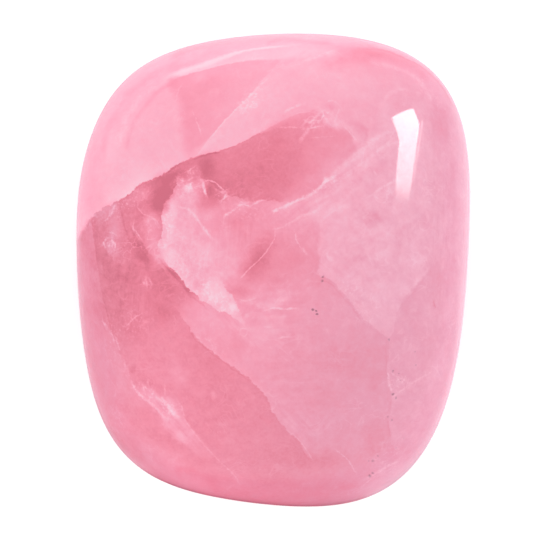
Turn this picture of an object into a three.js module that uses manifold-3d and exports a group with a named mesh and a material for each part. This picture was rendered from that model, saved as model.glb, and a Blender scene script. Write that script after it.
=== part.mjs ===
// A tumbled rose quartz, in millimetres, lying on its broad side: X is its width, Y its length
// and Z its thickness. Tumbling has worn a lump of quartz down to a pillow of blunt faces that
// run into each other with round shoulders. The stone is one piece, and it rests on the small
// flat spot under it.

import * as THREE from "three";
import { mergeVertices } from "three/addons/utils/BufferGeometryUtils.js";
import Module from "manifold-3d";

// The worn faces, each named by where it looks as the stone lies. turn is the direction that it
// faces seen from above, counterclockwise from +X, and tilt is how far it looks up, both in
// degrees. reach is how far its plane lies from the middle of the stone.
const girthFaces = [
  { name: "right side", turn: -3, tilt: 4, reach: 12.42 },
  { name: "upper right shoulder", turn: 52, tilt: -3, reach: 17.3 },
  { name: "top end", turn: 95, tilt: 5, reach: 15.3 },
  { name: "upper left shoulder", turn: 134, tilt: 8, reach: 17.6 },
  { name: "upper left side", turn: 171, tilt: -4, reach: 13.45 },
  { name: "left side", turn: 191, tilt: 3, reach: 13.4 },
  { name: "lower left shoulder", turn: 234, tilt: -6, reach: 17.4 },
  { name: "bottom end", turn: 265, tilt: 4, reach: 15.2 },
  { name: "lower right shoulder", turn: 320, tilt: 6, reach: 15.7 },
];
const upperFaces = [
  { name: "crown", turn: 200, tilt: 86, reach: 9.6 },
  { name: "right slope", turn: 20, tilt: 60, reach: 11.2 },
  { name: "top slope", turn: 110, tilt: 56, reach: 11.6 },
  { name: "left slope", turn: 205, tilt: 58, reach: 11.4 },
  { name: "bottom slope", turn: 290, tilt: 62, reach: 11.2 },
];
const underFaces = [
  { name: "underside", turn: 110, tilt: -88, reach: 9.0 },
  { name: "upper right undercut", turn: 60, tilt: -58, reach: 12.0 },
  { name: "upper left undercut", turn: 150, tilt: -60, reach: 11.8 },
  { name: "lower left undercut", turn: 245, tilt: -58, reach: 11.2 },
  { name: "lower right undercut", turn: 335, tilt: -60, reach: 11.8 },
];

// How crisply the faces meet: a low number wears the stone to an egg, a high one leaves edges.
const crispness = 7;
// How much of the underside is ground away to leave the flat spot.
const flatSpotDepth = 0.15;
// Facets along each edge of the cube that the surface is spread over.
const facetsAlongEdge = 22;

const stoneColour = 0xec9fb4;
const stoneRoughness = 0.12;

// The direction that a face looks in.
function facing({ turn, tilt }) {
  const around = THREE.MathUtils.degToRad(turn);
  const up = THREE.MathUtils.degToRad(tilt);
  return new THREE.Vector3(
    Math.cos(around) * Math.cos(up),
    Math.sin(around) * Math.cos(up),
    Math.sin(up),
  );
}

const faces = [...girthFaces, ...upperFaces, ...underFaces].map((face) => ({
  normal: facing(face),
  reach: face.reach,
}));

// How far the worn surface lies from the middle of the stone in a direction. Each face that looks
// that way takes its share, so that neighbouring faces blend over a round shoulder.
function surfaceDistance(direction) {
  let wear = 0;
  for (const { normal, reach } of faces) {
    const share = Math.max(0, direction.dot(normal)) / reach;
    wear += share ** crispness;
  }
  return wear ** (-1 / crispness);
}

// A cube's grid, spread evenly over the directions and moved out to the worn surface.
function wornSurface() {
  const n = facetsAlongEdge;
  const geometry = new THREE.BoxGeometry(2, 2, 2, n, n, n);
  geometry.deleteAttribute("normal");
  geometry.deleteAttribute("uv");
  const position = geometry.getAttribute("position");
  const point = new THREE.Vector3();
  const spread = (side) => Math.tan((side * Math.PI) / 4);
  for (let i = 0; i < position.count; i++) {
    point.fromBufferAttribute(position, i);
    point.set(spread(point.x), spread(point.y), spread(point.z)).normalize();
    point.multiplyScalar(surfaceDistance(point));
    position.setXYZ(i, point.x, point.y, point.z);
  }
  return mergeVertices(geometry);
}

const wasm = await Module();
wasm.setup();

function toSolid(geometry) {
  return new wasm.Manifold(
    new wasm.Mesh({
      numProp: 3,
      vertProperties: geometry.getAttribute("position").array,
      triVerts: new Uint32Array(geometry.index.array),
    }),
  );
}

function toGeometry(solid) {
  const { vertProperties, triVerts } = solid.getMesh();
  return new THREE.BufferGeometry()
    .setAttribute("position", new THREE.BufferAttribute(vertProperties, 3))
    .setIndex(new THREE.BufferAttribute(triVerts, 1));
}

// Everything under the plane of the flat spot, as a block wider than the stone.
function blockBelow(height) {
  const side = 60;
  const block = new THREE.BoxGeometry(side, side, side);
  block.deleteAttribute("normal");
  block.deleteAttribute("uv");
  block.translate(0, 0, height - side / 2);
  return mergeVertices(block);
}

function stoneGeometry() {
  const worn = wornSurface();
  worn.computeBoundingBox();
  const flatHeight = worn.boundingBox.min.z + flatSpotDepth;
  const ground = toSolid(worn).subtract(toSolid(blockBelow(flatHeight)));
  const geometry = toGeometry(ground);
  geometry.computeBoundingBox();
  const { min, max } = geometry.boundingBox;
  geometry.translate(-(min.x + max.x) / 2, -(min.y + max.y) / 2, -min.z);
  geometry.computeVertexNormals();
  return geometry;
}

const stone = new THREE.Mesh(
  stoneGeometry(),
  new THREE.MeshStandardMaterial({
    color: stoneColour,
    roughness: stoneRoughness,
    metalness: 0,
  }),
);
stone.name = "stone";

const tumbledStone = new THREE.Group();
tumbledStone.add(stone);

export default tumbledStone;
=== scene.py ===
import math
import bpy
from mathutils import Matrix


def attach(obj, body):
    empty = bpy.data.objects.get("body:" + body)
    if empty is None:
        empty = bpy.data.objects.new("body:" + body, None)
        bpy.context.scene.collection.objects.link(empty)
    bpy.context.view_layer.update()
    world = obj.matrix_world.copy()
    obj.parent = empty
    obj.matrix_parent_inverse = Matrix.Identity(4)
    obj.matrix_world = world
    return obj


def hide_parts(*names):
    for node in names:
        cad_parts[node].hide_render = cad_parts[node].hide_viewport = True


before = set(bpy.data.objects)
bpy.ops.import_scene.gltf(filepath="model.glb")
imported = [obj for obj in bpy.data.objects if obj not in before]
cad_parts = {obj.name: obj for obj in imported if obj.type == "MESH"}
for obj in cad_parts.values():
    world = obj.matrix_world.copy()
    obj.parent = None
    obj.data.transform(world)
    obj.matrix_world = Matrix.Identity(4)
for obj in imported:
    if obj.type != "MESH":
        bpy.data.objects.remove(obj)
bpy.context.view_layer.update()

from types import SimpleNamespace

import bmesh
import bpy
import numpy as np
from mathutils import Matrix, Vector, noise as solid_noise

# A tumbled rose quartz on a pale floor, with the camera straight above it. Lengths are in
# millimetres and are turned into metres where Blender takes them. X is the stone's width, Y its
# length and Z its thickness. Pixels are those of the photograph.
MM = 0.001

# The worn faces of the stone, as in the part's source: the direction that each looks in seen from
# above, how far it looks up, both in degrees, and how far its plane lies from the middle.
GIRTH_FACES = [
    (-3, 4, 12.42), (52, -3, 17.3), (95, 5, 15.3), (134, 8, 17.6), (171, -4, 13.45),
    (191, 3, 13.4), (234, -6, 17.4), (265, 4, 15.2), (320, 6, 15.7),
]
UPPER_FACES = [(200, 86, 9.6), (20, 60, 11.2), (110, 56, 11.6), (205, 58, 11.4), (290, 62, 11.2)]
UNDER_FACES = [(110, -88, 9.0), (60, -58, 12.0), (150, -60, 11.8), (245, -58, 11.2), (335, -60, 11.8)]
CRISPNESS = 7
FLAT_SPOT_DEPTH = 0.15

# The finer surface of the render: its facets, and the slow, shallow waves that the polish leaves.
FACETS_ALONG_EDGE = 126
WAVE_SIZE = 6.0
WAVE_DEPTH = 0.05
FLAT_SPOT_SOFTNESS = 0.06
# Points that are closer than this are one point, on a seam between the sides of the cube grid.
SEAM_WIDTH = 0.001

# The camera's place over the stone, and where the photograph has the middle of the outline.
PHOTO_SIDE = 533
PHOTO_MIDDLE = PHOTO_SIDE / 2
OUTLINE_MIDDLE = (272.5, 270.0)
PIXELS_PER_MM = 15.8
GIRTH_HEIGHT = 8.8
CAMERA_DISTANCE = 150.0
SENSOR_WIDTH = 36.0
LENS = SENSOR_WIDTH * CAMERA_DISTANCE * PIXELS_PER_MM / PHOTO_SIDE
# Halvings of the span in which a camera ray meets the stone.
HALVINGS = 30


def facing(turn, tilt):
    """The direction that lies turn degrees counterclockwise from +X and tilt degrees up."""
    around, up = math.radians(turn), math.radians(tilt)
    return (math.cos(around) * math.cos(up), math.sin(around) * math.cos(up), math.sin(up))


FACES = GIRTH_FACES + UPPER_FACES + UNDER_FACES
NORMALS = np.array([facing(turn, tilt) for turn, tilt, reach in FACES])
REACHES = np.array([reach for turn, tilt, reach in FACES])


def wear(points):
    """Below 1 inside the worn stone, 1 on its surface and above 1 outside, seen from its middle."""
    shares = np.maximum(0.0, points @ NORMALS.T) / REACHES
    return (shares ** CRISPNESS).sum(axis=-1)


def cube_grid(count):
    """Directions spread evenly over a cube's sides, and the four-sided faces between them."""
    sides = np.tan(np.linspace(-math.pi / 4, math.pi / 4, count + 1))
    row, column = np.meshgrid(sides, sides, indexing="ij")
    first = np.arange(count)[:, None] * (count + 1) + np.arange(count)
    quads = np.stack([first, first + count + 1, first + count + 2, first + 1], axis=-1).reshape(-1, 4)
    points, faces = [], []
    for axis in range(3):
        for sign in (1, -1):
            side = np.empty(row.shape + (3,))
            side[..., axis] = sign
            side[..., (axis + 1) % 3] = row
            side[..., (axis + 2) % 3] = column
            faces.append(quads[:, ::sign] + len(points) * row.size)
            points.append(side.reshape(-1, 3))
    points = np.concatenate(points)
    return points / np.linalg.norm(points, axis=1)[:, None], np.concatenate(faces)


def smooth_max(values, floor, softness):
    """The larger of values and floor, with a short round fillet where they meet."""
    blend = np.clip(0.5 + 0.5 * (values - floor) / softness, 0.0, 1.0)
    return blend * values + (1 - blend) * floor + softness * blend * (1 - blend)


def placed(name, data):
    """A new object with the data, in the scene."""
    thing = bpy.data.objects.new(name, data)
    bpy.context.scene.collection.objects.link(thing)
    return thing


def make_stone():
    """The stone's fine surface, in the place and box of its CAD solid, and where its middle lies."""
    directions, faces = cube_grid(FACETS_ALONG_EDGE)
    worn = directions * wear(directions)[:, None] ** (-1 / CRISPNESS)
    low, high = worn.min(axis=0), worn.max(axis=0)
    flat_height = low[2] + FLAT_SPOT_DEPTH
    middle = -np.array([*(low + high)[:2] / 2, flat_height])
    waves = np.array([solid_noise.noise(Vector(point) / WAVE_SIZE) for point in worn])
    worn -= directions * (WAVE_DEPTH * (0.5 + 0.5 * waves))[:, None]
    worn[:, 2] = smooth_max(worn[:, 2], flat_height, FLAT_SPOT_SOFTNESS)
    mesh = bpy.data.meshes.new("polished_stone")
    mesh.from_pydata(((worn + middle) * MM).tolist(), [], faces.tolist())
    seams = bmesh.new()
    seams.from_mesh(mesh)
    bmesh.ops.remove_doubles(seams, verts=seams.verts, dist=SEAM_WIDTH * MM)
    seams.to_mesh(mesh)
    seams.free()
    mesh.shade_smooth()
    stone = placed("polished_stone", mesh)
    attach(stone, "root")
    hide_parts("stone")
    return stone, middle


stone, stone_middle = make_stone()
camera_place = np.array([
    (PHOTO_MIDDLE - OUTLINE_MIDDLE[0]) / PIXELS_PER_MM + stone_middle[0],
    (OUTLINE_MIDDLE[1] - PHOTO_MIDDLE) / PIXELS_PER_MM + stone_middle[1],
    GIRTH_HEIGHT + CAMERA_DISTANCE,
])


def seen_at(pixel):
    """The X and Y of the place on the stone that the camera shows at a pixel."""
    column, row = pixel
    ray = np.array([column - PHOTO_MIDDLE, PHOTO_MIDDLE - row, -LENS * PHOTO_SIDE / SENSOR_WIDTH])
    ray /= -ray[2]
    near, far = CAMERA_DISTANCE / 2, CAMERA_DISTANCE
    for _ in range(HALVINGS):
        depth = (near + far) / 2
        inside = wear(camera_place + depth * ray - stone_middle) < 1
        near, far = (near, depth) if inside else (depth, far)
    return Vector((camera_place + far * ray)[:2])


class Field:
    """A number at every point of the surface, worked out by the shader's nodes."""

    def __init__(self, socket):
        self.socket = socket
        self.tree = socket.id_data

    def __add__(self, other):
        return calc("ADD", self, other)

    def __sub__(self, other):
        return calc("SUBTRACT", self, other)

    def __rsub__(self, other):
        return calc("SUBTRACT", other, self)

    def __mul__(self, other):
        return calc("MULTIPLY", self, other)

    def __truediv__(self, other):
        return calc("DIVIDE", self, other)

    def __neg__(self):
        return self * -1

    __radd__ = __add__
    __rmul__ = __mul__


def plug(socket, value):
    """Sets a socket to a number or colour, or links it to a field or to another socket."""
    if isinstance(value, Field):
        value = value.socket
    if isinstance(value, bpy.types.NodeSocket):
        socket.id_data.links.new(value, socket)
    else:
        socket.default_value = value


def plug_all(node, inputs):
    """Sets the node's inputs, which are given by name or as a list in their order."""
    for key, value in inputs.items() if isinstance(inputs, dict) else enumerate(inputs):
        plug(node.inputs[key], value)
    return node


def add_node(tree, kind, inputs=(), **settings):
    """A new shader node of the kind, with these settings and inputs."""
    node = tree.nodes.new("ShaderNode" + kind)
    for name, value in settings.items():
        setattr(node, name, value)
    return plug_all(node, inputs)


def calc(operation, *values):
    """The operation of Blender's math node on fields and numbers."""
    tree = next(value.tree for value in values if isinstance(value, Field))
    return Field(add_node(tree, "Math", values, operation=operation).outputs[0])


def larger(a, b):
    return calc("MAXIMUM", a, b)


def size_of(field):
    return calc("ABSOLUTE", field)


def toward(value, target, share):
    """The value moved by a share of the way toward a target."""
    if isinstance(value, Field) or isinstance(target, Field):
        return calc("MULTIPLY_ADD", target - value, share, value)
    return calc("MULTIPLY_ADD", share, target - value, value)


def painted(value, *coats, within=None):
    """The value after coats that each move it toward a level by a share, times within if given."""
    for level, share in coats:
        value = toward(value, level, share * within if within else share)
    return value


def rise(field, start, end, peak=1.0):
    """0 where the field is short of start, peak where it is past end, and smooth between."""
    inputs = {"Value": field, "From Min": start, "From Max": end, "To Max": peak}
    node = add_node(field.tree, "MapRange", inputs, interpolation_type="SMOOTHSTEP", clamp=False)
    return Field(node.outputs["Result"])


def fading(field, reach):
    """1 up to 0, and past it divided by e over each reach."""
    return calc("EXPONENT", larger(field, 0.0) * (-1 / reach))


def dot(place, direction):
    """How far the place lies along the direction."""
    node = add_node(place.id_data, "VectorMath", (place, direction), operation="DOT_PRODUCT")
    return Field(node.outputs["Value"])


def measured(place, start, turn, steps):
    """The place measured from start in the three steps, along axes turned about Z by turn degrees."""
    inputs = (place, start, (0.0, 0.0, math.radians(turn)), steps)
    return add_node(place.id_data, "Mapping", inputs, vector_type="TEXTURE").outputs["Vector"]


def noise_node(place, size, seed, detail, roughness, warp=0.0, turn=0.0):
    """A noise that starts at a place of its own, which its seed gives."""
    sizes = size if isinstance(size, tuple) else (size, size, size)
    where = measured(place, (seed, -2.3 * seed, 1.7 * seed), turn, sizes)
    inputs = {"Vector": where, "Scale": 1.0, "Detail": detail, "Roughness": roughness, "Distortion": warp}
    return add_node(place.id_data, "TexNoise", inputs)


def noise(place, size, seed, detail=2.0, roughness=0.5, warp=0.0, turn=0.0):
    """Noise of about -1 to 1. size is one length, or three along axes turned about Z by turn."""
    node = noise_node(place, size, seed, detail, roughness, warp, turn)
    return calc("MULTIPLY_ADD", Field(node.outputs[0]), 4.0, -2.0)


def shaken(place, size, reach):
    """The place moved about by a noise, so that what is drawn there gets a ragged edge."""
    wander = noise_node(place, size, seed=7.0, detail=4.0, roughness=0.7).outputs["Color"]
    inputs = (wander, (4 * reach,) * 3, place)
    moved = add_node(place.id_data, "VectorMath", inputs, operation="MULTIPLY_ADD").outputs[0]
    return add_node(place.id_data, "VectorMath", (moved, (-2 * reach,) * 3)).outputs[0]


class Sheet:
    """A fracture that goes down through the stone and shows on top as a route of points. along is
    how far a place lies from the route's first point, and across how far it lies to its left."""

    def __init__(self, place, points, dip=None, lean=0.0, straight=False):
        ahead = (points[-1] - points[0]).normalized()
        left = Vector((-ahead.y, ahead.x))
        self.length = (points[-1] - points[0]).length
        self.first = points[0].dot(ahead)
        self.forward = dot(place, (*ahead, 0.0))
        bend = add_node(place.id_data, "FloatCurve", {"Value": self.forward})
        bend.mapping.use_clip = False
        curve = bend.mapping.curves[0]
        while len(curve.points) < len(points):
            curve.points.new(0.5, 0.5)
        for handle, point in zip(curve.points, points):
            handle.location = (point.dot(ahead), point.dot(left))
            handle.handle_type = "VECTOR" if straight else "AUTO_CLAMPED"
        bend.mapping.update()
        self.across = dot(place, (*left, 0.0)) - Field(bend.outputs[0])
        if lean:
            self.across = calc("MULTIPLY_ADD", dip, lean, self.across)

    @property
    def along(self):
        return self.forward - self.first

    def between(self, start, end, soft=1.0):
        """1 along this stretch, in millimetres, and 0 past its soft ends."""
        from_middle = size_of(self.forward - (self.first + (start + end) / 2))
        return rise(from_middle, (end - start + soft) / 2, (end - start - soft) / 2)

    def whole(self, soft=1.0):
        return self.between(0.0, self.length, soft)

    def side(self, sign, reach, soft):
        """What left() says where sign is 1, and what right() says where it is -1."""
        across = self.across * sign
        edge = rise(across, soft * -0.5, soft * 0.5)
        return edge * fading(across, reach) if reach else edge

    def left(self, reach=None, soft=0.08):
        """1 just left of the sheet, fading over each reach, and 0 right of it."""
        return self.side(1, reach, soft)

    def right(self, reach=None, soft=0.08):
        return self.side(-1, reach, soft)

    def line(self, half_width, strength=1.0):
        return rise(size_of(self.across), half_width, 0.0, strength)


def sheet(at, route, lean=0.0, straight=False):
    """The sheet that the photograph shows along a route of pixels."""
    return Sheet(at.place, [seen_at(pixel) for pixel in route], at.dip, lean, straight)


def fine_sheet(at, route, lean=0.0):
    """The same along a route that is shaken less, as thin lines and the rims are."""
    return Sheet(at.calm_place, [seen_at(pixel) for pixel in route], at.dip, lean)


def turned(place, turn):
    """The place measured along axes turned about Z by turn degrees."""
    sides = [dot(place, facing(around, 0.0)) for around in (turn, turn + 90)]
    return add_node(place.id_data, "CombineXYZ", sides).outputs[0]


def patch(place, pixel, half_length, half_width=None, turn=0.0, strength=1.0):
    """The strength in the middle of a soft round or long patch and 0 at its rim. The place is
    measured along axes turned by turn degrees."""
    x, y = Matrix.Rotation(math.radians(-turn), 2) @ seen_at(pixel)
    steps = (1 / half_length, 1 / (half_width or half_length), 0.0)
    inputs = (place, steps, (-x * steps[0], -y * steps[1], 0.0))
    scaled = add_node(place.id_data, "VectorMath", inputs, operation="MULTIPLY_ADD").outputs[:1]
    length = add_node(place.id_data, "VectorMath", scaled, operation="LENGTH").outputs["Value"]
    return rise(Field(length), 1.0, 0.0, strength)


def like(example, socket):
    """The socket as a field where the example is one, and otherwise as it is."""
    return Field(socket) if isinstance(example, Field) else socket


def declare(group, values, in_out):
    """Gives the node group a socket for each of the values, going in or out."""
    for key, value in values.items():
        kind = "NodeSocketFloat" if isinstance(value, Field) else "NodeSocketVector"
        group.interface.new_socket(key, in_out=in_out, socket_type=kind)


def in_group(tree, name, build, at, *fields):
    """What build(at, *fields) gives, worked out in a node group of its own in the tree."""
    group = bpy.data.node_groups.new(name, "ShaderNodeTree")
    known = {**vars(at), **{f"given_{i}": field for i, field in enumerate(fields)}}
    declare(group, known, "INPUT")
    entry = group.nodes.new("NodeGroupInput")
    inner = {key: like(value, entry.outputs[key]) for key, value in known.items()}
    given = [inner.pop(f"given_{i}") for i in range(len(fields))]
    built = build(SimpleNamespace(**inner, tree=group), *given)
    results = built if isinstance(built, dict) else {"result": built}
    declare(group, results, "OUTPUT")
    leave = group.nodes.new("NodeGroupOutput")
    node = tree.nodes.new("ShaderNodeGroup")
    node.node_tree = group
    for key, result in results.items():
        plug(leave.inputs[key], result)
    for key, value in known.items():
        plug(node.inputs[key], value)
    outputs = {key: like(result, node.outputs[key]) for key, result in results.items()}
    return outputs if isinstance(built, dict) else outputs["result"]


# The fractures, each as the line that it shows in the photograph.
MAIN_FRACTURE = [
    (80, 235), (87, 223), (94, 214), (101, 210), (110, 205), (120, 200), (134, 190), (143, 183),
    (152, 179), (160, 176), (167, 171), (178, 164), (190, 158), (218, 151), (242, 142), (263, 131),
    (280, 122), (297, 114), (322, 108),
]
LENS_FLOOR = [
    (198, 176), (206, 181), (217, 187), (231, 195), (245, 200), (252, 203), (266, 200), (284, 202),
    (300, 199), (311, 194), (318, 189), (325, 181), (337, 170), (350, 159), (362, 150), (394, 134),
]
FLAKE_EDGE = [
    (178, 177), (177, 185), (173, 191), (168, 200), (163, 206), (161, 213), (163, 225), (162, 236),
    (158, 244), (157, 250), (160, 256), (167, 264), (182, 279), (190, 289), (200, 300), (209, 304),
    (215, 309), (224, 311), (233, 318), (240, 322),
]
TIP_EDGE = [(216, 266), (220, 278), (226, 288), (232, 296), (236, 302), (239, 311), (242, 322), (248, 335)]
LOWER_FRACTURE = [
    (184, 320), (197, 338), (212, 351), (230, 365), (250, 379), (263, 393), (272, 410), (284, 427),
    (297, 440), (309, 458),
]
LENS_END = [(312, 107), (322, 111), (334, 119), (345, 128), (351, 136), (356, 148)]
FIELD_EDGE = [
    (311, 212), (316, 221), (321, 230), (319, 243), (316, 252), (320, 262), (317, 272), (324, 276),
    (331, 280), (345, 295), (352, 303), (358, 314), (372, 326), (389, 339),
]
FIELD_SIDE = [(389, 341), (395, 325), (400, 305), (410, 292), (424, 274), (436, 261)]
SALMON_LEFT = [(171, 74), (171, 86), (177, 96), (181, 106), (181, 120), (184, 138), (187, 155)]
SALMON_RIGHT = [(197, 154), (222, 123), (247, 98), (257, 86), (268, 74)]
# The edge of a painted highlight band along the top shoulder, and the route of a painted highlight streak in
# it: light mirrored by the polish, not fractures.
PAINTED_TOP_HIGHLIGHT_EDGE = [
    (139, 114), (146, 104), (155, 92), (168, 82), (185, 75), (204, 70), (232, 63), (256, 60),
    (280, 59), (300, 56), (345, 54),
]
PAINTED_TOP_HIGHLIGHT_STREAK = [(172, 75), (187, 70), (203, 65), (222, 58), (240, 52), (262, 48), (284, 46)]
UPPER_RIM_EDGE = [
    (366, 47), (378, 48), (390, 51), (399, 55), (408, 59), (420, 65), (431, 74), (441, 84),
    (448, 95), (453, 104),
]
LEFT_RIM_EDGE = [(91, 220), (95, 249), (98, 270), (102, 293), (106, 312), (112, 335)]
LEFT_CRACK = [(131, 227), (136, 235), (142, 243), (147, 250), (153, 257), (162, 267), (171, 277)]
STREAK_LINE = [(105, 323), (112, 332), (118, 345), (121, 358), (127, 366), (130, 378), (134, 386), (144, 399)]
STREAK_LOWER_EDGE = [
    (131, 385), (141, 398), (152, 408), (160, 417), (165, 428), (180, 441), (196, 453), (214, 468),
]
STREAK_UPPER_EDGE = [
    (148, 386), (160, 395), (172, 398), (179, 404), (184, 418), (193, 431), (208, 448), (228, 470),
]
DOWN_CRACK = [(388, 341), (388, 360), (387, 374), (391, 392), (389, 410), (388, 420), (391, 438), (396, 456)]

# Thin pale lines: the half width of each in millimetres, its strength and the points of its route.
PALE_LINES = [
    (0.07, 0.7, (203, 183), (208, 180), (214, 182), (219, 186), (225, 191)),
    (0.14, 1.0, (203, 182), (204, 188), (206, 196)), (0.08, 0.6, (186, 172), (190, 170), (194, 167)),
    (0.08, 0.6, (222, 200), (226, 197), (231, 195)), (0.1, 0.5, (217, 190), (221, 192), (227, 190)),
    (0.14, 0.8, (180, 207), (189, 210), (195, 216), (201, 225), (207, 232), (212, 239)),
    (0.08, 0.5, (178, 178), (184, 181), (193, 178)), (0.1, 0.7, (185, 186), (189, 184), (192, 188)),
    (0.1, 0.7, (224, 222), (225, 215), (231, 212), (238, 206), (246, 203)),
    (0.09, 0.6, (240, 201), (249, 206), (256, 203), (267, 199)),
    (0.065, 0.55, (275, 231), (273, 242), (266, 252), (258, 261), (250, 268), (241, 278)),
    (0.12, 0.7, (284, 113), (292, 108), (302, 104)), (0.06, 0.4, (297, 113), (305, 112), (313, 112)),
    (0.06, 0.4, (279, 127), (290, 127), (301, 127)), (0.08, 0.6, (304, 129), (312, 128), (321, 126)),
    (0.2, 0.5, (321, 111), (314, 120), (307, 131), (300, 141)),
    (0.06, 0.3, (312, 138), (322, 137), (334, 136)), (0.09, 0.5, (345, 127), (351, 134), (356, 140)),
    (0.09, 0.5, (340, 107), (337, 115), (335, 122)),
    (0.07, 0.4, (324, 108), (326, 103), (331, 101), (337, 103), (341, 108)),
    (0.12, 0.5, (322, 112), (326, 119), (331, 125)),
    (0.3, 0.35, (362, 152), (352, 159), (340, 168), (333, 175)),
    (0.3, 0.4, (393, 134), (384, 135), (376, 139), (366, 147)),
    (0.2, 0.2, (398, 143), (388, 145), (377, 152)),
    (0.17, 0.85, (336, 175), (328, 180), (318, 189), (311, 194), (300, 199), (292, 203), (283, 207)),
    (0.12, 0.8, (283, 207), (278, 209), (272, 212)), (0.16, 0.25, (344, 179), (352, 173), (363, 165)),
    (0.14, 0.45, (374, 193), (380, 189), (388, 184), (396, 180)),
    (0.08, 0.3, (366, 198), (370, 196), (374, 193)),
    (0.17, 0.5, (288, 224), (300, 217), (311, 213), (322, 206)),
    (0.09, 0.4, (271, 229), (280, 228), (289, 223)), (0.12, 0.3, (320, 222), (332, 212), (344, 206)),
    (0.1, 0.7, (106, 248), (104, 242), (107, 238), (112, 238)),
    (0.12, 0.8, (108, 242), (112, 240), (115, 245), (114, 251)),
    (0.07, 0.5, (109, 232), (113, 233), (116, 235)), (0.07, 0.6, (146, 279), (147, 286)),
    (0.06, 0.6, (150, 280), (151, 284)), (0.06, 0.6, (134, 222), (133, 228), (137, 233), (141, 239)),
    (0.12, 0.5, (141, 395), (149, 402), (158, 410), (166, 419)),
    (0.1, 0.6, (155, 397), (163, 402), (168, 408), (172, 414)),
    (0.08, 0.4, (177, 400), (182, 408), (184, 417)),
    (0.07, 0.4, (138, 208), (143, 214), (149, 216), (155, 220), (160, 226)),
    (0.07, 0.6, (110, 212), (108, 218), (104, 221)), (0.08, 0.6, (115, 205), (112, 211), (110, 216)),
    (0.06, 0.6, (295, 233), (297, 241), (301, 248)), (0.12, 0.7, (303, 248), (306, 253)),
    (0.07, 0.8, (227, 193), (225, 197), (222, 201)), (0.12, 0.7, (103, 321), (106, 327)),
    (0.07, 0.5, (112, 333), (114, 342)), (0.07, 0.5, (116, 338), (119, 348)),
    (0.11, 0.6, (124, 361), (125, 367)), (0.07, 0.4, (127, 325), (133, 319), (141, 314)),
    (0.12, 0.5, (132, 384), (138, 393), (145, 400)),
    (0.14, 0.8, (163, 399), (168, 406), (172, 412), (176, 415)), (0.1, 0.4, (148, 381), (149, 388)),
    (0.12, 0.4, (142, 384), (145, 394)), (0.08, 0.5, (165, 387), (165, 393)),
    (0.09, 0.3, (178, 401), (182, 410), (185, 420), (192, 430), (203, 444)),
    (0.08, 0.3, (203, 444), (218, 460), (232, 473), (240, 484)),
    (0.07, 0.35, (290, 432), (299, 440), (307, 451), (312, 459)),
    (0.07, 0.45, (336, 450), (347, 459), (356, 473)), (0.14, 0.3, (366, 479), (380, 471), (398, 461)),
    (0.08, 0.3, (362, 487), (367, 482), (374, 478)),
    (0.1, 0.8, (266, 310), (275, 308), (285, 309), (295, 308)),
    (0.07, 0.5, (239, 299), (247, 301), (256, 298)), (0.09, 0.4, (264, 327), (272, 327)),
    (0.09, 0.3, (276, 338), (287, 337)), (0.07, 0.5, (240, 333), (241, 329), (246, 329)),
    (0.07, 0.5, (241, 335), (245, 336), (247, 332)), (0.06, 0.5, (193, 112), (197, 122), (201, 134)),
    (0.07, 0.7, (212, 136), (222, 124), (247, 99), (268, 78)),
    (0.12, 0.5, (239, 103), (243, 108), (248, 104)), (0.12, 0.4, (247, 98), (254, 92), (263, 88)),
    (0.08, 0.3, (176, 101), (178, 92), (182, 84)), (0.16, 0.45, (302, 62), (318, 56), (336, 50)),
    (0.08, 0.3, (335, 50), (343, 56)),
    (0.22, 0.3, (372, 62), (385, 65), (398, 69), (412, 75), (420, 82), (427, 92), (432, 101)),
    (0.22, 0.3, (384, 101), (389, 94), (397, 90), (407, 90)),
    (0.36, 0.35, (118, 148), (121, 132), (127, 117), (135, 104), (145, 93), (155, 86)),
    (0.09, 0.7, (374, 171), (377, 175)), (0.09, 0.6, (388, 372), (389, 381), (391, 391)),
    (0.09, 0.35, (390, 371), (396, 376), (403, 379), (409, 384)),
    (0.09, 0.35, (393, 397), (401, 391), (409, 385)), (0.11, 0.3, (409, 385), (419, 379), (433, 371)),
    (0.08, 0.2, (416, 112), (422, 128), (423, 150)),
]
# Thin dark lines, written the same way.
DARK_LINES = [
    (0.6, 0.5, (338, 58), (352, 57), (366, 57), (382, 56), (397, 60), (408, 64), (418, 70), (427, 79)),
    (0.14, 0.6, (366, 49), (380, 50), (394, 54), (408, 60), (420, 66), (430, 74), (440, 84),
     (447, 95), (452, 104)),
    (0.3, 0.6, (268, 42), (286, 40), (300, 41), (314, 42), (330, 43)),
    (0.4, 0.3, (103, 152), (106, 135), (112, 120), (120, 106), (129, 95), (140, 85), (150, 76),
     (172, 64), (196, 54)),
    (0.24, 0.35, (127, 148), (130, 132), (136, 119), (143, 109), (150, 100), (160, 90), (172, 84)),
    (0.09, 0.4, (120, 202), (122, 214), (124, 225), (128, 236)),
    (0.12, 0.6, (168, 173), (174, 167), (181, 163)), (0.12, 0.6, (192, 160), (205, 155), (220, 152)),
    (0.08, 0.3, (225, 150), (240, 143), (252, 137)),
    (0.12, 0.6, (159, 259), (168, 269), (177, 278), (187, 291)),
    (0.1, 0.6, (192, 297), (200, 303), (207, 309)),
    (0.07, 0.3, (187, 322), (195, 339), (210, 352), (226, 364), (248, 380)),
    (0.09, 0.35, (321, 280), (332, 285), (342, 296), (352, 307), (360, 319)),
    (0.28, 0.45, (349, 124), (360, 125), (366, 131), (366, 140)),
    (0.3, 0.15, (453, 160), (454, 190), (454, 230), (451, 270), (446, 302)),
    (0.07, 0.25, (386, 344), (386, 360), (386, 372)),
    (0.07, 0.35, (392, 397), (390, 410), (388, 421), (390, 434)),
    (0.06, 0.2, (200, 386), (208, 384), (217, 388)), (0.14, 0.15, (430, 110), (434, 135), (434, 165)),
    (0.1, 0.2, (401, 307), (412, 294), (426, 276)),
]
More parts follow.
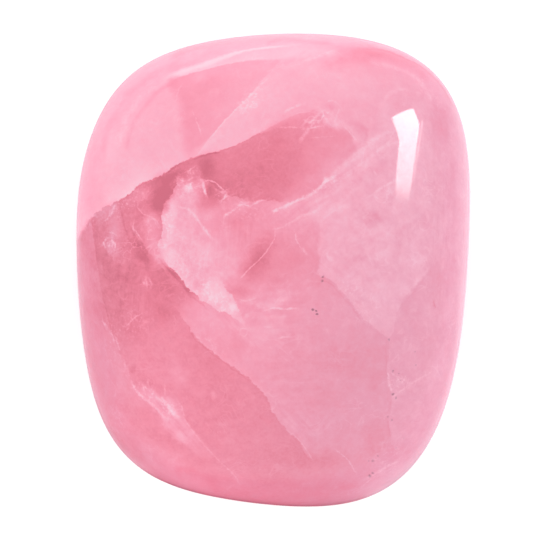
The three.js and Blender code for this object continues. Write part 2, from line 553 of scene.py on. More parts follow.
# Soft patches, under the turn of their length from +X in degrees: the column and row of the middle
# of each, half its length and width in millimetres, the milk that it moves toward and its strength.
PATCHES = {
    -52: [(141, 254, 1.5, 0.7, 0.0, 0.7)],
    -50: [
        (168, 255, 1.0, 0.6, 1.3, 0.7), (150, 296, 1.6, 1.0, 0.3, 0.6), (111, 431, 2.4, 0.5, 0.3, 0.7),
        (438, 86, 1.6, 0.6, 0.78, 0.5),
    ],
    -48: [(128, 451, 2.8, 1.0, 0.25, 0.7)],
    -45: [
        (159, 256, 1.1, 0.8, 1.0, 0.8), (168, 290, 1.6, 0.9, 0.0, 0.7), (176, 304, 1.0, 1.3, 0.3, 0.5),
        (207, 272, 2.0, 1.2, 0.9, 0.7), (430, 76, 1.0, 0.8, 0.8, 0.6), (382, 291, 1.5, 1.2, 1.1, 0.6),
        (172, 411, 0.8, 0.45, 1.22, 0.7),
    ],
    -40: [
        (214, 326, 1.8, 1.2, 0.9, 0.7), (256, 332, 3.0, 1.5, 0.92, 0.7), (212, 412, 2.2, 1.3, 0.36, 0.6),
        (228, 388, 2.0, 0.9, 0.36, 0.6), (215, 290, 1.1, 0.8, 1.35, 0.8), (180, 437, 0.8, 0.5, 1.1, 0.6),
        (198, 284, 0.9, 0.7, 0.7, 0.5),
    ],
    -38: [(172, 466, 3.4, 1.1, 0.7, 0.7)],
    -30: [
        (209, 313, 1.7, 1.0, 0.82, 0.7), (359, 129, 0.8, 0.5, 0.68, 0.6), (336, 124, 0.9, 0.5, 1.1, 0.8),
        (150, 396, 1.0, 0.5, 1.0, 0.6),
    ],
    -22: [(188, 482, 2.2, 0.8, 0.66, 0.8)],
    -14: [(370, 52, 1.2, 0.3, 0.3, 0.5)],
    -12: [(438, 366, 0.9, 2.6, 1.05, 0.6)],
    -8: [(236, 484, 2.6, 0.7, 0.62, 0.6), (366, 52, 3.2, 0.7, 0.5, 0.8), (372, 68, 4.4, 1.1, 0.78, 0.6)],
    0: [
        (114, 232, 0.7, 2.4, 0.68, 0.7), (151, 224, 0.9, 1.5, 0.78, 0.9), (153, 240, 0.7, 1.2, 0.76, 0.7),
        (282, 330, 2.4, 1.6, 0.9, 0.5), (245, 178, 3.2, 1.3, 0.16, 0.4), (206, 168, 0.9, 1.3, -0.05, 0.8),
        (211, 192, 1.0, 1.3, 0.02, 1.0), (216, 198, 0.9, 0.7, 0.2, 0.9), (205, 204, 0.8, 0.9, 0.35, 0.8),
        (196, 176, 0.4, 0.9, 0.3, 0.7), (163, 192, 1.0, 1.5, -0.15, 0.9), (157, 203, 1.0, 0.9, -0.1, 0.8),
        (278, 196, 2.2, 0.8, 0.42, 0.8), (270, 293, 1.6, 0.5, 0.5, 0.6), (254, 308, 0.9, 0.5, 0.5, 0.7),
        (160, 312, 1.4, 1.4, 0.1, 0.6), (174, 82, 0.6, 0.5, 0.6, 0.6), (286, 262, 2.0, 2.4, 0.34, 0.4),
        (122, 296, 2.6, 4.4, 0.08, 0.7), (106, 264, 0.7, 2.0, 0.15, 0.6), (125, 265, 0.5, 1.6, 0.2, 0.5),
        (208, 254, 1.0, 1.2, 0.98, 0.5), (173, 207, 0.5, 0.9, 1.25, 0.7), (226, 238, 0.9, 1.2, 0.95, 0.5),
        (242, 292, 1.1, 0.6, 0.38, 0.7), (295, 130, 1.6, 0.9, 0.42, 0.6), (133, 369, 0.35, 0.5, 0.12, 0.6),
        (110, 365, 1.0, 2.2, 0.68, 0.6), (118, 385, 1.2, 1.0, 0.72, 0.5), (176, 376, 1.0, 1.7, 0.84, 0.7),
        (158, 376, 1.0, 0.8, 0.62, 0.5), (142, 352, 1.6, 0.6, 0.6, 0.5), (178, 346, 1.3, 0.7, 0.64, 0.5),
        (192, 391, 1.6, 1.8, 0.58, 0.5), (112, 148, 0.8, 1.8, 1.2, 0.6), (334, 63, 1.8, 0.8, 0.68, 0.5),
        (436, 182, 1.0, 2.6, 0.7, 0.5), (213, 395, 0.3, 0.4, 0.8, 0.8), (372, 219, 0.9, 0.7, 0.68, 0.8),
        (362, 258, 0.5, 0.3, 0.7, 0.6), (386, 112, 0.9, 1.7, 1.12, 0.7), (331, 106, 0.45, 0.4, 0.72, 0.8),
        (330, 119, 0.6, 0.7, 1.1, 0.9), (312, 118, 0.9, 0.7, 0.7, 0.6), (440, 108, 0.8, 1.4, 0.66, 0.6),
        (442, 122, 1.3, 2.8, 0.62, 0.8), (450, 180, 0.8, 2.8, 0.7, 0.6), (264, 54, 2.4, 0.5, 1.2, 0.5),
        (461, 285, 0.6, 5.0, 1.12, 0.5), (434, 304, 0.13, 0.4, 0.2, 0.8), (432, 235, 1.8, 2.6, 0.74, 0.6),
        (448, 310, 0.8, 3.0, 1.02, 0.5), (398, 316, 0.6, 1.2, 0.95, 0.5), (374, 440, 1.3, 2.0, 0.46, 0.7),
        (375, 385, 0.8, 1.6, 0.5, 0.6), (330, 395, 3.0, 1.6, 0.58, 0.6), (356, 362, 2.2, 2.0, 0.46, 0.6),
        (314, 461, 3.6, 1.0, 0.26, 0.6), (262, 300, 1.6, 0.5, 0.62, 0.6), (266, 316, 1.6, 0.5, 1.0, 0.5),
        (232, 307, 0.35, 0.5, 1.7, 0.9), (204, 294, 0.35, 0.3, 1.35, 0.8), (170, 222, 0.5, 1.5, 1.3, 0.6),
        (188, 188, 0.4, 0.4, 1.45, 0.9), (275, 211, 0.3, 0.18, 1.4, 0.9), (250, 104, 0.9, 0.8, 1.2, 0.6),
        (146, 283, 0.25, 0.3, 0.75, 0.7), (110, 245, 0.5, 0.7, 0.85, 0.7), (400, 383, 0.5, 0.4, 0.95, 0.5),
        (335, 238, 1.0, 1.5, 1.08, 0.6), (342, 258, 0.9, 1.4, 0.86, 0.5), (381, 172, 1.0, 1.0, 0.8, 0.6),
        (402, 196, 0.9, 1.6, 1.0, 0.5), (125, 425, 1.1, 1.3, 0.66, 0.6), (147, 415, 1.0, 1.3, 0.4, 0.6),
        (168, 240, 0.8, 2.4, 1.35, 0.4), (191, 243, 0.9, 0.9, 0.75, 0.4), (182, 228, 1.2, 1.2, 1.15, 0.5),
        (184, 177, 1.1, 0.7, 0.0, 0.45), (160, 185, 0.5, 0.5, 0.4, 0.4), (97, 202, 1.2, 1.6, 0.72, 0.5),
        (230, 267, 2.2, 2.0, 0.58, 0.35), (270, 280, 1.7, 0.9, 0.3, 0.45), (325, 315, 2.4, 1.8, 0.82, 0.5),
        (234, 325, 0.8, 0.7, 0.95, 0.5), (198, 325, 1.1, 0.8, 0.88, 0.5), (140, 233, 1.0, 1.0, 0.15, 0.4),
        (112, 240, 0.7, 0.6, 0.35, 0.6), (229, 301, 0.8, 0.6, 0.9, 0.5), (246, 317, 1.0, 0.7, 0.55, 0.4),
        (440, 98, 0.7, 1.0, 1.02, 0.5), (366, 62, 1.6, 0.5, 0.6, 0.5),
    ],
    8: [(340, 487, 2.4, 0.6, 0.4, 0.5)],
    18: [(240, 322, 0.35, 0.9, 1.0, 0.6)],
    20: [
        (328, 212, 2.2, 0.8, 1.15, 0.6), (186, 58, 1.8, 0.5, 1.3, 0.6), (208, 84, 1.6, 0.9, 0.6, 0.6),
        (186, 71, 0.9, 0.4, 1.35, 0.7), (200, 77, 0.9, 0.5, 1.0, 0.5),
    ],
    25: [(239, 208, 1.6, 0.7, 0.85, 0.6), (292, 199, 1.2, 0.3, 0.8, 0.7)],
    30: [
        (140, 195, 1.2, 0.6, 0.66, 0.6), (110, 211, 1.4, 0.7, 0.62, 0.7), (173, 176, 0.9, 0.5, -0.1, 0.8),
        (164, 70, 2.6, 0.7, 0.9, 0.5),
    ],
    32: [(394, 474, 1.8, 0.9, 0.95, 0.6)],
    35: [
        (304, 187, 1.9, 0.8, 0.66, 0.7), (205, 146, 1.6, 0.4, 1.25, 0.5), (362, 156, 1.6, 0.6, 1.1, 0.6),
        (331, 168, 2.0, 0.9, 0.82, 0.7), (372, 144, 2.0, 0.5, 1.08, 0.6), (345, 168, 1.6, 0.5, 1.02, 0.5),
    ],
    45: [(325, 181, 0.28, 0.22, 1.4, 0.9)],
    58: [(257, 262, 2.8, 1.2, 0.1, 0.85)],
    60: [(436, 290, 1.6, 1.2, 0.66, 0.6)],
}
# Places where a texture shows more strongly, under the turn of their length and the texture: the
# column and row of the middle of each, half its length and width, and its strength.
TEXTURED = {
    -48: {"falls": [(172, 420, 3.0, 1.1, 0.12), (240, 330, 2.5, 1.0, 0.12), (300, 425, 3.0, 1.6, 0.12)]},
    -45: {"crystals": [(145, 390, 1.2, 0.8, 0.6), (169, 410, 1.3, 0.6, 0.6)]},
    -40: {"crystals": [(214, 296, 1.9, 0.8, 0.4), (352, 292, 1.6, 0.9, 0.25), (208, 342, 1.8, 0.5, 0.25)]},
    0: {
        "crystals": [
            (189, 185, 1.4, 0.9, 0.5), (222, 195, 0.7, 0.8, 0.6), (168, 222, 0.5, 1.6, 0.3),
            (152, 225, 1.2, 0.9, 0.3), (110, 244, 0.7, 0.9, 0.5), (190, 174, 0.9, 0.6, 0.6),
            (148, 284, 0.7, 0.5, 0.5), (130, 322, 2.0, 1.4, 0.3), (112, 345, 0.8, 2.0, 0.25),
            (320, 120, 1.6, 1.0, 0.3), (245, 212, 2.2, 0.8, 0.3), (400, 382, 1.0, 0.8, 0.3),
            (118, 420, 1.2, 1.6, 0.2), (385, 460, 1.6, 1.8, 0.2),
        ],
        "threads": [
            (205, 258, 2.6, 2.2, 0.08), (240, 235, 2.4, 1.8, 0.1), (440, 240, 1.6, 8.0, 0.08),
            (135, 300, 2.2, 4.0, 0.1),
        ],
        "mottle": [
            (125, 270, 3.2, 5.4, 0.12), (160, 410, 5.4, 5.4, 0.08), (372, 248, 4.4, 5.0, 0.12),
            (187, 235, 1.8, 3.4, 0.1),
        ],
        "fluff": [(120, 250, 2.6, 4.0, 0.1)],
        "drifts": [(285, 312, 3.4, 2.6, 0.14), (300, 375, 6.0, 3.6, 0.08), (165, 365, 4.0, 3.6, 0.06)],
        "web": [(320, 122, 1.8, 1.2, 0.4), (345, 255, 1.6, 2.6, 0.3), (140, 240, 2.4, 2.4, 0.25)],
    },
    15: {"slants": [(315, 60, 4.0, 1.2, 0.1)]},
    25: {"slants": [(320, 203, 3.4, 1.3, 0.1)]},
    30: {"crystals": [(125, 206, 2.6, 0.7, 0.4), (330, 183, 1.6, 0.6, 0.35)]},
    35: {"slants": [(360, 156, 3.4, 1.3, 0.14)]},
    45: {
        "crystals": [(250, 100, 1.5, 0.8, 0.5)],
        "web": [(252, 98, 1.4, 1.0, 0.5)],
    },
}
# Dark specks of another mineral: the column and row of each, its radius in millimetres and its
# strength.
SPECKS = [
    (313, 310, 0.12, 0.8), (316, 311, 0.1, 0.7), (317, 314, 0.1, 0.7), (323, 277, 0.12, 0.7),
    (322, 281, 0.12, 0.55), (389, 340, 0.12, 0.4), (393, 371, 0.1, 0.4), (393, 394, 0.14, 0.55),
    (396, 398, 0.09, 0.4), (388, 417, 0.1, 0.3), (392, 420, 0.1, 0.35), (370, 476, 0.16, 0.55),
    (373, 473, 0.13, 0.4), (373, 461, 0.12, 0.3), (369, 461, 0.08, 0.3), (378, 456, 0.09, 0.3),
    (415, 352, 0.08, 0.3), (416, 365, 0.07, 0.3), (399, 374, 0.07, 0.3), (404, 438, 0.07, 0.25),
    (401, 380, 0.06, 0.25), (396, 448, 0.07, 0.25),
]
# Fractures that only the sides and the back show: the direction that each faces, how far that
# looks up, both in degrees, and how far the fracture lies from the bottom's middle.
SIDE_FRACTURES = [(70, 20, 5.0), (330, -25, -7.0), (15, 60, 11.0), (195, 50, 12.5), (265, 15, 6.0)]

# Between these heights the markings that only the photograph's side has fade in.
TOP_STARTS = 4.5
TOP_WHOLE = 8.5
# A sheet that leans is off by its lean times the square of how far a point is below the girth,
# divided by this.
DIP_SCALE = 12.0


def textures(at):
    """Everything that the layers share: where a point is, and the noises there. Each noise has a
    size in millimetres and a seed of its own."""
    in_metres = add_node(at.tree, "TexCoord").outputs["Object"]
    inputs = {"Vector": in_metres, "Scale": 1 / MM}
    place = add_node(at.tree, "VectorMath", inputs, operation="SCALE").outputs["Vector"]
    calm_place = shaken(place, 0.3, 0.06)
    height = dot(place, (0.0, 0.0, 1.0))
    sunk = larger(GIRTH_HEIGHT - height, 0.0)
    web = rise(size_of(noise(place, 1.5, 13.0, roughness=0.6, warp=1.2)), 0.14, 0.0)
    fluff = noise(place, 0.45, 47.0, detail=3.0, roughness=0.7, warp=0.6)
    grain = noise(place, 0.18, 71.0, roughness=0.6)
    return {
        "place": shaken(calm_place, 0.7, 0.14),
        "calm_place": calm_place,
        "top": rise(height, TOP_STARTS, TOP_WHOLE),
        "dip": sunk * sunk / DIP_SCALE,
        "broken": rise(noise(place, 0.9, 23.0), -1.2, 0.3),
        "clouds": noise(place, 6.0, 3.0, detail=3.0, warp=0.5),
        "mottle": noise(place, 1.1, 31.0, detail=3.0, roughness=0.62, warp=0.4),
        "fluff": fluff,
        "grain": grain,
        "crystals": rise(grain + fluff * 0.4, -0.1, 1.2),
        "web": web * rise(noise(place, 1.9, 61.0, detail=1.0), -0.1, 0.7),
        "threads": noise(place, (0.16, 2.2, 2.2), 5.0, turn=-4.0),
        "slants": noise(place, (2.6, 0.34, 2.0), 9.0, warp=0.3, turn=33.0),
        "falls": noise(place, (2.2, 0.2, 2.0), 17.0, turn=-48.0),
        "drifts": noise(place, (1.8, 0.3, 2.0), 41.0, warp=0.3, turn=2.0),
    }


# The layers below paint the milk in coats. At level 0 the stone is clear deep rose, and at MILK_FULL
# it is a white veil. Lengths along a sheet and beside it are in millimetres.
def lay_body(at):
    """The stone's own milk, its lower fracture and the pale field right of the middle."""
    milk = 0.5 + rise(dot(at.place, (1.0, 0.25, 0.0)), -4.0, 7.0) * 0.3
    lower = sheet(at, LOWER_FRACTURE, lean=0.5)
    milk = painted(
        milk,
        (0.76, lower.left(6.0) * lower.between(-2.0, lower.length, 2.0) * 0.85),
        (0.36, lower.right(2.5) * lower.whole(2.0) * 0.7),
        (1.0, lower.left(0.1) * lower.between(0.0, 6.5, 1.5) * at.broken * 0.6),
    )
    field = sheet(at, FIELD_EDGE, straight=True)
    side = sheet(at, FIELD_SIDE)
    field_soft = 0.5 - rise(field.along, 2.5, 4.5) * 0.42
    side_soft = 0.08 + rise(side.along, 4.0, 7.0) * 4.0
    in_field = field.left(None, field_soft) * field.between(-2.0, field.length, 2.5)
    return painted(
        milk,
        (0.46, field.right(1.5) * field.between(-1.0, 4.0, 2.0) * 0.7),
        (0.96, in_field * side.left(None, side_soft) * 0.9),
        (0.74, side.right(3.0, side_soft) * side.whole(3.0) * 0.8),
        (1.05, side.line(0.12) * side.between(2.5, 5.5, 1.5) * 0.4),
        within=at.top,
    )


def lay_flake(at, milk):
    """The white flake left of the middle and the deep clear rose beside it."""
    flake = sheet(at, FLAKE_EDGE, straight=True)
    on_flake = flake.left() * flake.whole(0.6) * at.top
    milk = toward(milk, 1.15, on_flake * rise(flake.across, 5.0, 1.8))
    near_edge = on_flake * rise(flake.across, 4.0, 0.0)
    milk = milk + near_edge * (at.fluff * 0.16 + at.threads * 0.06 + at.mottle * 0.13 + at.crystals * 0.2)
    tip = sheet(at, TIP_EDGE)
    return painted(
        milk,
        (0.45, tip.left(1.2, 0.16) * tip.between(1.1, 3.6, 1.6) * 0.85),
        (1.25, tip.right(0.8, 0.12) * tip.between(1.0, 3.6, 1.0) * flake.left() * 0.8),
        (1.35, flake.left(0.12) * flake.whole(0.6) * at.broken * 0.8),
        (0.0, flake.right(0.6) * flake.between(-0.2, 7.0, 1.2) * 0.8),
        within=at.top,
    )


def main_fracture(at):
    """The fracture below the cap, ragged at its left end and calm farther right."""
    ragged = sheet(at, MAIN_FRACTURE, lean=-0.5)
    calm = fine_sheet(at, MAIN_FRACTURE, lean=-0.5)
    ragged.across = toward(ragged.across, calm.across, rise(ragged.along, 7.5, 9.5))
    return ragged


def lay_lens(at, milk):
    """The deep lens under the main fracture and the streaked veil below it."""
    lens = sheet(at, LENS_FLOOR)
    main = main_fracture(at)
    past = rise(lens.along, 5.0, 12.0)
    below_lens = lens.right(3.0, 0.08 + past * 0.4) * lens.between(3.5, lens.length, 2.0) * at.top
    milk = toward(milk, 0.93, below_lens * 0.8)
    milk = milk + below_lens * (at.slants * 0.06 + at.fluff * 0.08)
    depth = painted(
        toward(0.17, 0.54, rise(dot(at.place, (1.0, 0.0, 0.0)), -0.2, 2.8)),
        (0.42, main.right(1.4) * main.between(9.5, 16.0, 2.5) * 0.8),
        (0.88, lens.left(0.7, 0.3) * past * 0.8),
    )
    end = sheet(at, LENS_END)
    in_lens = main.right() * lens.left(None, 0.08 + past * 0.9) * lens.whole(1.0)
    return painted(
        milk,
        (0.05, main.right(2.2) * main.between(0.0, 8.5, 1.5) * 0.7),
        (0.92, end.left(2.0, 0.25) * end.whole(2.0) * at.top * 0.8),
        (depth, in_lens * end.right(None, 0.25) * at.top * 0.92),
    )


def lay_left_side(at, milk):
    """The rim, crack and streaks of the stone's left side, and the crack down its right side."""
    thread = sheet(at, STREAK_LINE)
    milk = toward(milk, 0.64, thread.right(1.5) * thread.whole(1.5) * at.top * 0.6)
    milk = toward(milk, 0.95, thread.line(0.1) * thread.whole(1.5) * at.crystals * at.top * 0.8)
    low = sheet(at, STREAK_LOWER_EDGE)
    high = sheet(at, STREAK_UPPER_EDGE)
    in_streak = low.left(2.2, soft=0.3) * high.right(2.2, soft=0.3) * low.between(0.8, 5.8, 2.6) * at.top
    milk = toward(milk, 0.96, in_streak * 0.85)
    milk = milk + in_streak * (at.falls * 0.1 + at.fluff * 0.08)
    rim = fine_sheet(at, LEFT_RIM_EDGE)
    crack = sheet(at, LEFT_CRACK)
    down = sheet(at, DOWN_CRACK)
    return painted(
        milk,
        (0.5, rim.right(1.5) * rim.whole(1.5) * 0.7),
        (0.12, rim.left(0.9) * rim.whole(1.5) * 0.6),
        (0.02, crack.right(0.6, 0.1) * crack.whole(1.0) * 0.6),
        (0.6, crack.left(0.8, 0.1) * crack.between(0.0, 2.6, 1.0) * 0.7),
        (0.48, down.right(0.5) * down.whole(1.0) * 0.4),
        (0.95, down.left(0.1) * down.whole(1.0) * at.crystals * 0.6),
        within=at.top,
    )


def lay_cap(at, milk):
    """The paler stone above the main fracture, with a painted highlight along its top shoulder, and how much
    of a point lies in it.
    """
    main = main_fracture(at)
    sparkle = main.right(0.5) * main.between(0.6, 5.2, 1.0) * at.top
    milk = milk + sparkle * (0.1 + at.crystals * 0.4)
    salmon_left = sheet(at, SALMON_LEFT)
    salmon_right = fine_sheet(at, SALMON_RIGHT)
    veil = salmon_right.right(1.2) * salmon_right.whole(1.0) * at.top
    cap = painted(
        0.97 + at.clouds * 0.04,
        (0.6, salmon_left.left(4.0, 0.8) * salmon_right.left() * at.top * 0.9),
        (1.15, veil * (0.5 + at.fluff * 0.3)),
        (1.16, main.left(1.0) * main.between(-3.0, 7.5, 3.0) * 0.85),
        (1.08, main.left(0.5) * 0.4),
        (1.4, main.left(0.6) * main.between(2.6, 5.4, 1.4) * 0.7),
    )
    # Painted highlight: a pale band along the top shoulder and a thin bright streak in it, the mirror image
    # of the light above, painted into the colour.
    top_highlight = fine_sheet(at, PAINTED_TOP_HIGHLIGHT_EDGE)
    top_highlight_soft = 0.12 + rise(top_highlight.along, 8.0, 11.0) * 0.6
    highlight_streak = fine_sheet(at, PAINTED_TOP_HIGHLIGHT_STREAK)
    highlight_streak_half_width = 0.3 - rise(highlight_streak.along, 3.0, 5.0, 0.16)
    cap = painted(
        cap,
        (1.3, top_highlight.left(0.9, top_highlight_soft) * top_highlight.between(2.6, 11.8, 5.0) * 0.85),
        (1.5, highlight_streak.line(highlight_streak_half_width) * highlight_streak.whole(2.0) * 0.9),
        within=at.top,
    )
    above = main.left(None, 0.08 + rise(main.along, 12.0, 18.0) * 5.0 + rise(main.along, 1.8, 0.2) * 0.4)
    return {"milk": toward(milk, cap, above), "above": above}


def lay_patches(at, milk):
    patched = milk
    for turn, rows in PATCHES.items():
        place = turned(at.place, turn)
        for column, row, half_length, half_width, target, strength in rows:
            share = patch(place, (column, row), half_length, half_width, turn, strength)
            patched = toward(patched, target, share)
    return toward(milk, patched, at.top)


def lay_rim(at, milk):
    """The crisp dark edge along the rim at the upper right."""
    edge = fine_sheet(at, UPPER_RIM_EDGE)
    share = edge.right(0.5) * edge.whole(1.5) * (0.85 - rise(edge.along, 2.4, 4.4, 0.5)) * at.top
    return toward(milk, 0.6, share)


def lay_textured(at, milk):
    added = at.top * 0.0
    for turn, kinds in TEXTURED.items():
        place = turned(at.place, turn)
        for kind, rows in kinds.items():
            for column, row, half_length, half_width, strength in rows:
                share = patch(place, (column, row), half_length, half_width, turn, strength)
                added = calc("MULTIPLY_ADD", share, getattr(at, kind), added)
    return calc("MULTIPLY_ADD", added, at.top, milk)


def drawn_lines(at, table):
    """The strength of the table's strongest line at a point."""
    drawn = at.top * 0.0
    for half_width, strength, *route in table:
        line = fine_sheet(at, route)
        drawn = larger(drawn, line.line(half_width, strength) * line.whole(0.6))
    return drawn * at.top


def lay_dark_lines(at, milk):
    return milk - drawn_lines(at, DARK_LINES) * 0.5 * (0.7 + at.grain * 0.4)


def lay_pale_lines(at, milk):
    unbroken = rise(at.grain + at.fluff * 0.5, -1.6, 0.6)
    return toward(milk, 1.35, drawn_lines(at, PALE_LINES) * unbroken)


def lay_veils(at, milk, above):
    """The clouds and the fine web of healed cracks all through the stone."""
    veils = at.clouds * 0.05 + at.mottle * 0.08 + at.fluff * 0.07 + at.grain * 0.05 + at.web * 0.12
    return milk + veils * (1.0 - above * 0.35)


def lay_sides(at, milk):
    """Healed fractures of the sides and the back, where the photograph doesn't reach."""
    beside = 1.0 - at.top
    for turn, tilt, reach in SIDE_FRACTURES:
        across = dot(at.place, facing(turn, tilt)) - reach
        veil = rise(across, 0.0, 0.1) * fading(across, 2.5)
        line = rise(size_of(across), 0.16, 0.0, 0.3)
        milk = toward(milk, 0.98, beside * at.broken * (veil * 0.7 + line))
        milk = toward(milk, 0.3, beside * rise(across, 0.0, -0.1) * fading(-across, 1.5) * 0.5)
    return milk + beside * (at.clouds * 0.1 + at.slants * 0.06 + at.web * 0.2)


def lay_specks(at):
    drawn = at.top * 0.0
    for column, row, radius, strength in SPECKS:
        drawn = larger(drawn, patch(at.calm_place, (column, row), radius, strength=strength))
    return drawn * at.top


def linear(hex_colour):
    """A colour written as on screen, as the linear values that the shader takes."""
    parts = [(hex_colour >> shift & 255) / 255 for shift in (16, 8, 0)]
    return (*[c / 12.92 if c <= 0.04045 else ((c + 0.055) / 1.055) ** 2.4 for c in parts], 1.0)


# The colours from clear deep rose at 0 to white veil at MILK_FULL, on the warm and the cool side.
MILK_FULL = 1.4
WARM_ROSE = [
    (0.0, 0xD5677F), (0.25, 0xE97B93), (0.5, 0xF48CA4), (0.75, 0xFB9DB5), (1.0, 0xFDAEC4),
    (MILK_FULL, 0xFDCDDB),
]
COOL_ROSE = [
    (0.0, 0xD06A82), (0.25, 0xDF7C93), (0.5, 0xE58DA4), (0.75, 0xE79DB5), (1.0, 0xEFAEC4),
    (MILK_FULL, 0xF8CDDC),
]
SPECK_COLOUR = 0x692A3C
POLISH_ROUGHNESS = 0.05
QUARTZ_IOR = 1.54
# How much light is scattered inside the stone, and how far its red, green and blue go there.
SCATTERED_SHARE = 0.35
SCATTER_REACH = (1.0, 0.45, 0.5)


def rose_colour(milk, stops):
    """The colour of the milk between the stops."""
    node = add_node(milk.tree, "ValToRGB", {"Fac": milk / MILK_FULL})
    elements = node.color_ramp.elements
    while len(elements) < len(stops):
        elements.new(0.5)
    for element, (position, colour) in zip(elements, stops):
        element.position = position / MILK_FULL
        element.color = linear(colour)
    return node.outputs["Color"]


def mixed(share, colour_a, colour_b):
    node = add_node(share.tree, "Mix", {"Factor": share}, data_type="RGBA")
    in_a, in_b = [socket for socket in node.inputs if socket.type == "RGBA"]
    plug(in_a, colour_a)
    plug(in_b, colour_b)
    return next(socket for socket in node.outputs if socket.type == "RGBA")


# The layers that are painted before the cap and after it, in that order, by their groups' names.
UNDER_CAP = {"flake": lay_flake, "lens": lay_lens, "left side": lay_left_side}
OVER_CAP = {
    "patches": lay_patches, "rim": lay_rim, "textured places": lay_textured,
    "dark lines": lay_dark_lines, "pale lines": lay_pale_lines,
}


def stone_milk(tree, at):
    """How milky a point is after all layers, one over the other, and how much it is in the cap."""
    milk = in_group(tree, "body", lay_body, at)
    for name, lay in UNDER_CAP.items():
        milk = in_group(tree, name, lay, at, milk)
    capped = in_group(tree, "cap", lay_cap, at, milk)
    milk, above = capped["milk"], capped["above"]
    for name, lay in OVER_CAP.items():
        milk = in_group(tree, name, lay, at, milk)
    milk = in_group(tree, "veils", lay_veils, at, milk, above)
    return in_group(tree, "sides", lay_sides, at, milk), above


def warmth(at, above):
    """How warm a point's rose is: less to the right and at the left rim, and more in the cap."""
    warm = 0.8 - rise(dot(at.place, (1.0, -0.35, 0.0)), -3.0, 9.0) * 0.75 + above * 0.25
    rim = rise(dot(at.place, (-1.0, 0.0, 0.0)), 7.6, 11.0, 0.7)
    rim = larger(rim, rise(dot(at.place, (-0.72, -0.69, 0.0)), 12.2, 14.4, 0.7))
    return warm - rim * (1.0 - above)


def new_material(name, inputs):
    """A material with these inputs on its shader."""
    material = bpy.data.materials.new(name)
    material.use_nodes = True
    plug_all(material.node_tree.nodes["Principled BSDF"], inputs)
    return material


def stone_material():
    material = new_material("rose_quartz", {
        "Roughness": POLISH_ROUGHNESS, "IOR": QUARTZ_IOR, "Subsurface Weight": SCATTERED_SHARE,
        "Subsurface Radius": SCATTER_REACH, "Subsurface Scale": MM,
    })
    tree = material.node_tree
    at = SimpleNamespace(**in_group(tree, "textures", textures, SimpleNamespace()))
    milk, above = stone_milk(tree, at)
    specks = in_group(tree, "specks", lay_specks, at)
    rose = mixed(warmth(at, above), rose_colour(milk, COOL_ROSE), rose_colour(milk, WARM_ROSE))
    colour = mixed(specks, rose, linear(SPECK_COLOUR))
    plug(tree.nodes["Principled BSDF"].inputs["Base Color"], colour)
    return material


stone.data.materials.append(stone_material())


def plain_material(name, colour, roughness, glow=0.0):
    return new_material(name, {
        "Base Color": colour, "Roughness": roughness, "Emission Color": colour, "Emission Strength": glow,
    })


def flat_mesh(name, corners, material):
    """One flat face through the corners, placed in the scene."""
    mesh = bpy.data.meshes.new(name)
    mesh.from_pydata(corners, [], [tuple(range(len(corners)))])
    mesh.materials.append(material)
    piece = placed(name, mesh)
    return piece


# Half the floor's side is in metres.
FLOOR_HALF = 1.5
FLOOR_CORNERS = [(x * FLOOR_HALF, y * FLOOR_HALF, 0) for x, y in ((-1, -1), (1, -1), (1, 1), (-1, 1))]
FLOOR_COLOUR = (0.85, 0.84, 0.84, 1.0)
FLOOR_ROUGHNESS = 0.9
WHITE = (1.0, 1.0, 1.0, 1.0)

floor = flat_mesh("floor", FLOOR_CORNERS, plain_material("floor", FLOOR_COLOUR, FLOOR_ROUGHNESS))
floor.visible_glossy = False

# The window-like softbox that the polish mirrors, as the directions of its corners seen from the
# stone: degrees counterclockwise from +X, and degrees up. Beside it hangs a thin, fainter strip.
SOFTBOX_CORNERS = [
    (40.7, 29.3), (34.7, 13.0), (27.6, 13.0), (20.0, 25.5), (17.6, 30.5), (18.8, 40.0), (23.5, 36.2),
    (30.8, 29.4),
]
STRIP_CORNERS = [(28.4, 9.5), (19.6, 24.9), (19.3, 23.8), (27.7, 7.8)]
SOFTBOX_FACING = (29, 24)
SOFTBOX_AIM = (8.0, 7.3, 6.5)
SOFTBOX_DISTANCE = 400.0
SOFTBOX_GLOW = 13.0
SOFTBOX_TINT = (1.0, 0.96, 0.9, 1.0)
STRIP_GLOW = 3.5
# The softbox dims from its bright end to its dark one, and is out past that. EVEN_LINE lies across
# it and has one brightness.
EVEN_LINE = [(25.5, 33.3), (21.0, 23.7)]
BRIGHT_END, DIMMING, DARK_END = (38.0, 22.3), (21.7, 30.6), (18.0, 34.4)
DIMMED_BY = 0.6


def softbox_place(direction):
    """Where a direction, seen from the stone, meets the plane of the softbox."""
    toward_plane, way = Vector(facing(*SOFTBOX_FACING)), Vector(facing(*direction))
    return (Vector(SOFTBOX_AIM) + way * (SOFTBOX_DISTANCE / way.dot(toward_plane))) * MM


def mirrored_panel(name, corners, material):
    """A panel that shows in the polish alone."""
    panel = flat_mesh(name, [softbox_place(corner) for corner in corners], material)
    for rays in ("camera", "diffuse", "shadow", "transmission", "volume_scatter"):
        setattr(panel, f"visible_{rays}", False)


def dimming_material():
    """The softbox's own light."""
    material = plain_material("softbox", SOFTBOX_TINT, 1.0)
    tree = material.node_tree
    start, end = [softbox_place(direction) for direction in EVEN_LINE]
    down = (end - start).cross(Vector(facing(*SOFTBOX_FACING))).normalized()
    if (softbox_place(DARK_END) - softbox_place(BRIGHT_END)).dot(down) < 0:
        down = -down
    bright, dimming, dark = [softbox_place(end).dot(down) for end in (BRIGHT_END, DIMMING, DARK_END)]
    along = dot(add_node(tree, "TexCoord").outputs["Object"], down)
    glow = SOFTBOX_GLOW * (1.0 - (along - bright) * (DIMMED_BY / (dark - bright)))
    plug(tree.nodes["Principled BSDF"].inputs["Emission Strength"], glow * rise(along, dark, dimming))
    return material


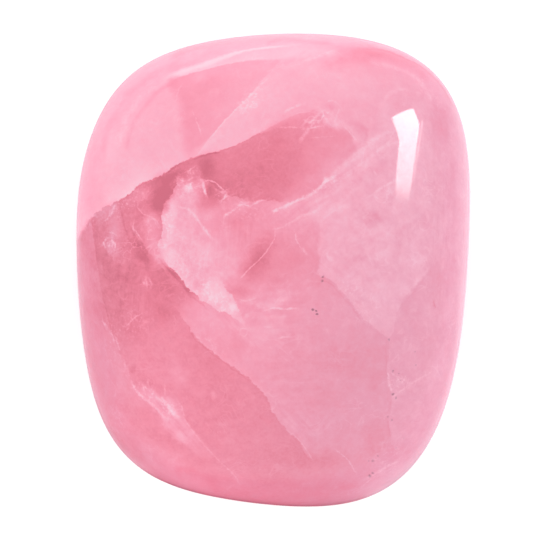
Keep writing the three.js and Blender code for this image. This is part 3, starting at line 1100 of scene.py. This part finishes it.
mirrored_panel("softbox", SOFTBOX_CORNERS, dimming_material())
strip_material = plain_material("softbox_strip", WHITE, 1.0, STRIP_GLOW)
mirrored_panel("softbox_strip", STRIP_CORNERS, strip_material)

# The wash light's side and height are in metres, and its energy in watts.
WASH_SIDE = 0.5
WASH_HEIGHT = 0.8
WASH_ENERGY = 5.0


def wash_floor():
    """A light for the floor alone, so that it stays white round the stone."""
    light = bpy.data.lights.new("floor_wash", "AREA")
    light.size = WASH_SIDE
    light.energy = WASH_ENERGY
    lamp = placed("floor_wash", light)
    lamp.location = (0.0, 0.0, WASH_HEIGHT)
    lamp.visible_camera = False
    lamp.visible_glossy = False
    lit = bpy.data.collections.new("lit_by_floor_wash")
    lit.objects.link(floor)
    lamp.light_linking.receiver_collection = lit


wash_floor()

# Below the horizon the studio is dimmer, and a deep red past the stone's lower end. That end's
# direction is counterclockwise from +X.
LOW_SIDES = 0.75
LOWER_END_TURN = 264
LOWER_END_GLOW = 0.3
LOW_TINT = (1.0, 0.74, 0.84, 1.0)
LOWER_END_TINT = (1.0, 0.16, 0.25, 1.0)
NADIR_GLOW = 0.9


def studio_world():
    """Soft white light from above and all round. ahead and sideways say how far a direction looks
    to the stone's lower end and to the right of it as seen from above."""
    world = bpy.data.worlds.new("studio")
    world.use_nodes = True
    tree = world.node_tree
    direction = add_node(tree, "TexCoord").outputs["Generated"]
    up = dot(direction, (0.0, 0.0, 1.0))
    ahead = dot(direction, facing(LOWER_END_TURN, 0.0))
    sideways = dot(direction, facing(LOWER_END_TURN + 90, 0.0))
    outward = calc("SQRT", ahead * ahead + sideways * sideways + 1e-6)
    ahead = ahead / outward
    low = rise(up, 0.1, -0.25)
    at_end = rise(ahead, 0.84, 0.98)
    sides = LOW_SIDES + rise(-ahead, 0.3, 0.9, 0.5) + rise(sideways / outward, 0.6, 1.0, 0.12)
    sides = toward(sides, LOWER_END_GLOW, at_end)
    deep = rise(up, -0.6, -0.95) * (1.0 - rise(ahead, 0.2, 0.8))
    below = NADIR_GLOW + rise(-ahead, 0.5, 1.0, 0.12) + rise(sideways / outward, 0.3, 1.0, 0.2)
    sides = toward(sides, below, deep)
    background = tree.nodes["Background"]
    tint = mixed(at_end, LOW_TINT, LOWER_END_TINT)
    plug_all(background, {"Color": mixed(low, WHITE, tint), "Strength": toward(1.0, sides, low)})
    return world


bpy.context.scene.world = studio_world()


# The nearest and farthest that the camera sees, in metres.
CLIP = (0.01, 10.0)


def make_camera():
    data = bpy.data.cameras.new("camera")
    data.lens = LENS
    data.sensor_width = SENSOR_WIDTH
    data.clip_start, data.clip_end = CLIP
    camera = placed("camera", data)
    camera.location = camera_place * MM
    return camera


bpy.context.scene.camera = make_camera()
bpy.context.scene.view_settings.view_transform = "Standard"
